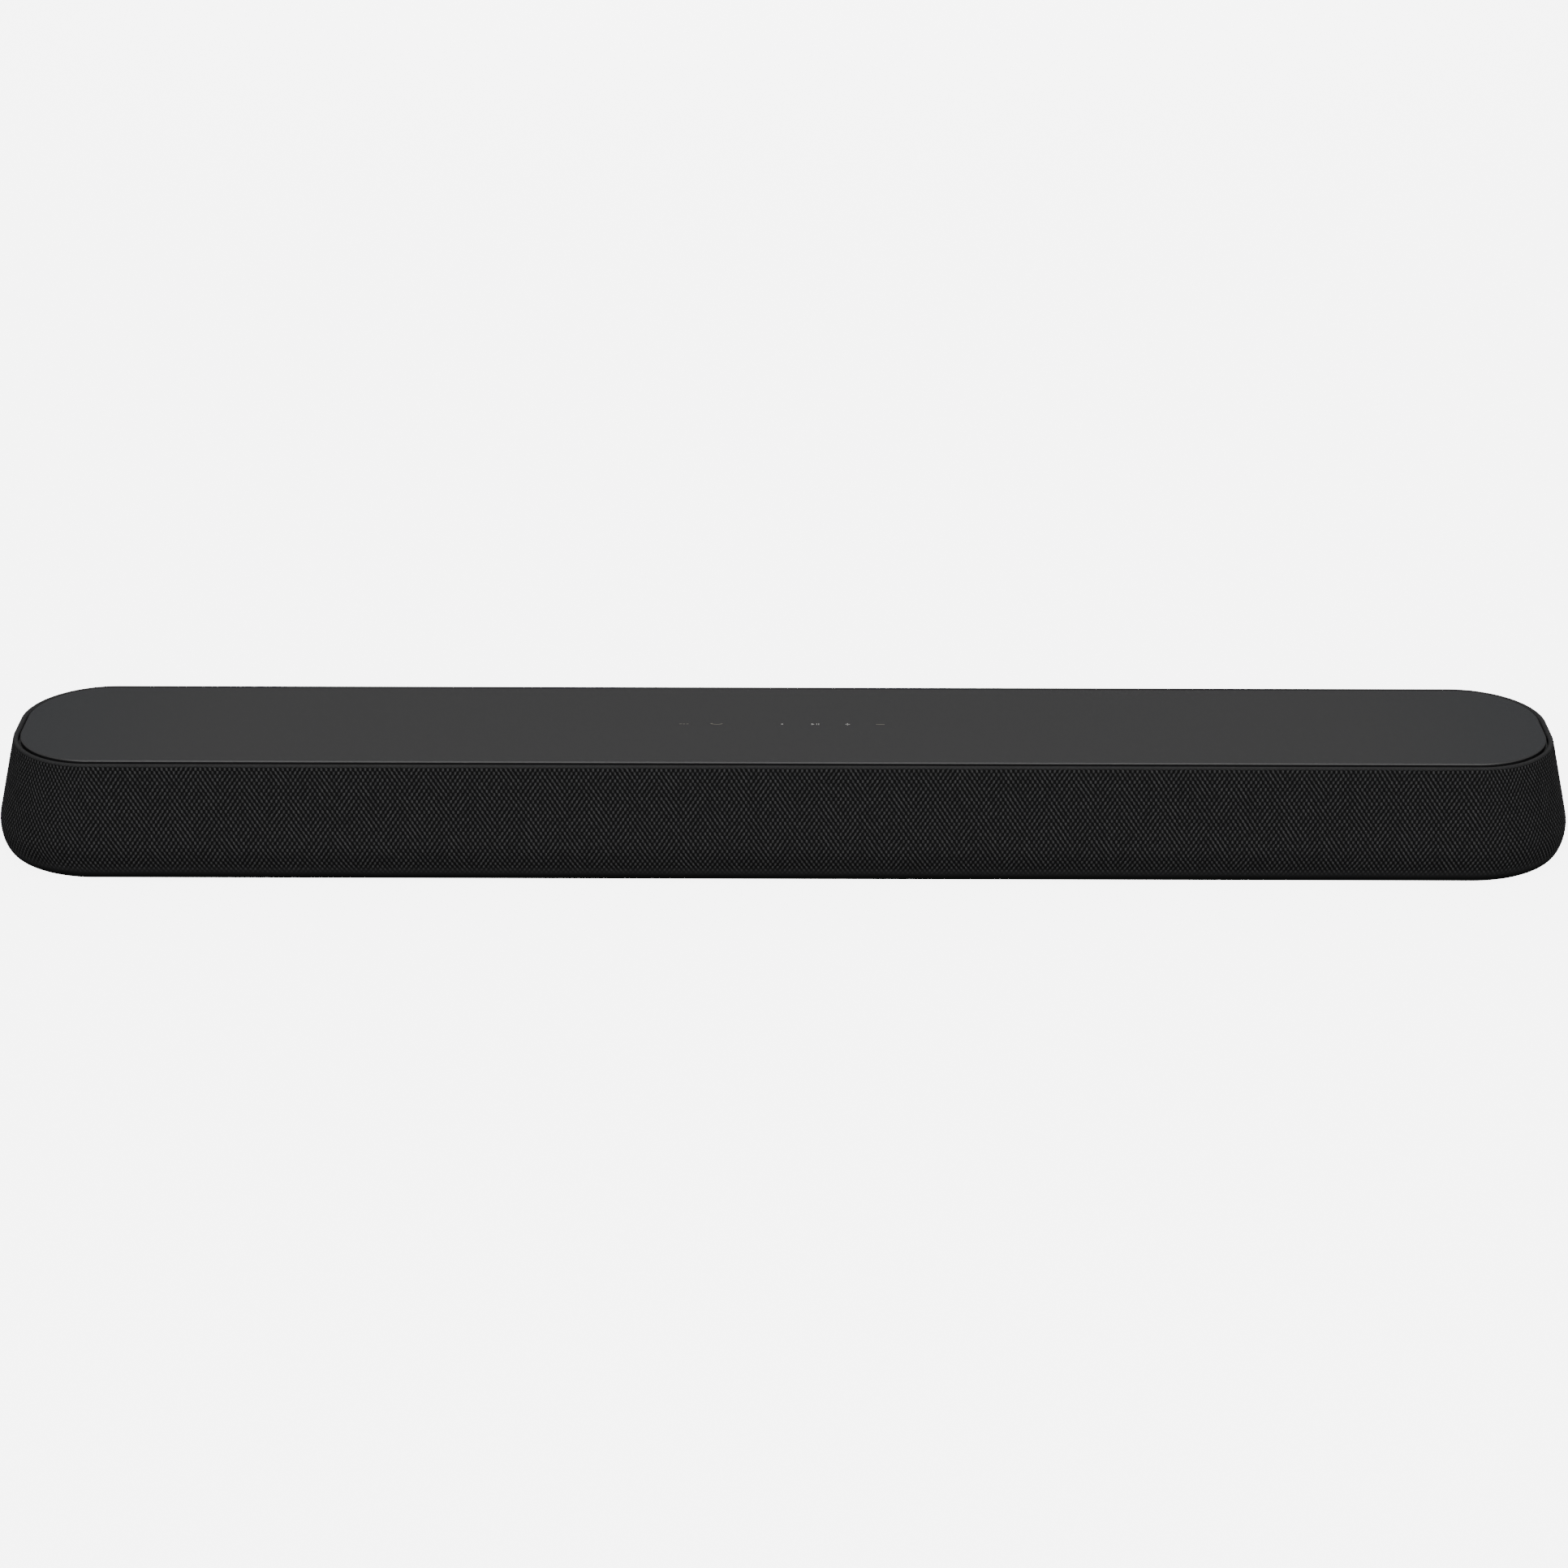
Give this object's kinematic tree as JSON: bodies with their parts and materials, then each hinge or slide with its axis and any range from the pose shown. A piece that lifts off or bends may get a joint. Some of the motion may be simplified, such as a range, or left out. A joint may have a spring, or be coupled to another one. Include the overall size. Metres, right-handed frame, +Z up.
{
  "type": "soundbar",
  "caption": "Long knit-covered soundbar with sloping sides, flat touch plate, rear connector bay, and speaker cones and passive radiators that travel behind the knit.",
  "frame": {"origin": "on the surface that the feet stand on, under the middle of the bar", "axes": "+X along the bar to the right of someone facing it, +Y to the rear, +Z up; the front faces -Y"},
  "size_m": [0.85, 0.125, 0.066],
  "materials": {
    "plate_plastic": "fine matte moulded grain, charcoal",
    "fabric_knit": "coarse black acoustic knit with small raised stitches",
    "moulded_plastic": "satin moulded black",
    "black_plastic": "fine spark-eroded black",
    "rubber": "matte black rubber",
    "painted_steel": "black powder coat",
    "cone_paper": "pressed fibre cone, matte",
    "spider_cloth": "resin-dipped woven cloth",
    "copper": "enamelled winding",
    "magnet_ferrite": "plated steel and ferrite",
    "zinc_steel": "black zinc",
    "brass": "machined brass",
    "aluminium": "extruded, plain",
    "circuit_board": "green solder mask",
    "socket_metal": "bright plated shell",
    "ribbon_film": "amber polyimide film",
    "lead_pvc": "black PVC sleeve"
  },
  "bodies": {
    "cabinet": {"ac_inlet": "black_plastic", "base_screw_1": "zinc_steel", "base_screw_2": "zinc_steel", "base_screw_3": "zinc_steel", "base_screw_4": "zinc_steel", "base_tray": "moulded_plastic", "centre_driver_basket": "painted_steel", "centre_driver_magnet": "magnet_ferrite", "centre_driver_spider": "spider_cloth", "centre_driver_surround": "rubber", "deck_screw_1": "zinc_steel", "deck_screw_2": "zinc_steel", "deck_screw_3": "zinc_steel", "deck_screw_4": "zinc_steel", "fabric_sleeve": "fabric_knit", "filter_capacitor": "black_plastic", "foot_1": "rubber", "foot_2": "rubber", "foot_3": "rubber", "foot_4": "rubber", "grille_frame": "moulded_plastic", "hdmi_socket": "socket_metal", "heat_sink": "aluminium", "left_bracket_insert": "brass", "left_radiator_frame": "painted_steel", "left_radiator_surround": "rubber", "left_speaker_lead": "lead_pvc", "left_woofer_basket": "painted_steel", "left_woofer_magnet": "magnet_ferrite", "left_woofer_spider": "spider_cloth", "left_woofer_surround": "rubber", "main_board": "circuit_board", "mains_lead": "lead_pvc", "optical_socket": "black_plastic", "power_board": "circuit_board", "rear_bay": "black_plastic", "right_bracket_insert": "brass", "right_radiator_frame": "painted_steel", "right_radiator_surround": "rubber", "right_speaker_lead": "lead_pvc", "right_woofer_basket": "painted_steel", "right_woofer_magnet": "magnet_ferrite", "right_woofer_spider": "spider_cloth", "right_woofer_surround": "rubber", "top_deck": "moulded_plastic", "top_plate": "plate_plastic", "touch_board": "circuit_board", "touch_ribbon": "ribbon_film", "transformer": "magnet_ferrite", "usb_socket": "socket_metal", "wireless_module": "socket_metal"},
    "left_woofer_cone_set": {"left_woofer_cone": "cone_paper", "left_woofer_coil": "copper"},
    "centre_driver_cone_set": {"centre_driver_cone": "cone_paper", "centre_driver_coil": "copper"},
    "right_woofer_cone_set": {"right_woofer_cone": "cone_paper", "right_woofer_coil": "copper"},
    "left_radiator_mass": {"left_radiator_plate": "cone_paper"},
    "right_radiator_mass": {"right_radiator_plate": "cone_paper"}
  },
  "joints": [
    {"name": "left_woofer_travel", "type": "slide", "parent": "cabinet", "child": "left_woofer_cone_set", "axis": [0, -1, 0], "range_m": [-0.0025, 0.0025], "stiffness_N_per_m": 1200, "deforming": ["left_woofer_surround", "left_woofer_spider"]},
    {"name": "centre_driver_travel", "type": "slide", "parent": "cabinet", "child": "centre_driver_cone_set", "axis": [0, -1, 0], "range_m": [-0.0015, 0.0015], "stiffness_N_per_m": 1000, "deforming": ["centre_driver_surround", "centre_driver_spider"]},
    {"name": "right_woofer_travel", "type": "slide", "parent": "cabinet", "child": "right_woofer_cone_set", "axis": [0, -1, 0], "range_m": [-0.0025, 0.0025], "stiffness_N_per_m": 1200, "deforming": ["right_woofer_surround", "right_woofer_spider"]},
    {"name": "left_radiator_travel", "type": "slide", "parent": "cabinet", "child": "left_radiator_mass", "axis": [0, 1, 0], "range_m": [-0.0035, 0.0035], "stiffness_N_per_m": 800, "deforming": ["left_radiator_surround"]},
    {"name": "right_radiator_travel", "type": "slide", "parent": "cabinet", "child": "right_radiator_mass", "axis": [0, 1, 0], "range_m": [-0.0035, 0.0035], "stiffness_N_per_m": 800, "deforming": ["right_radiator_surround"]}
  ]
}
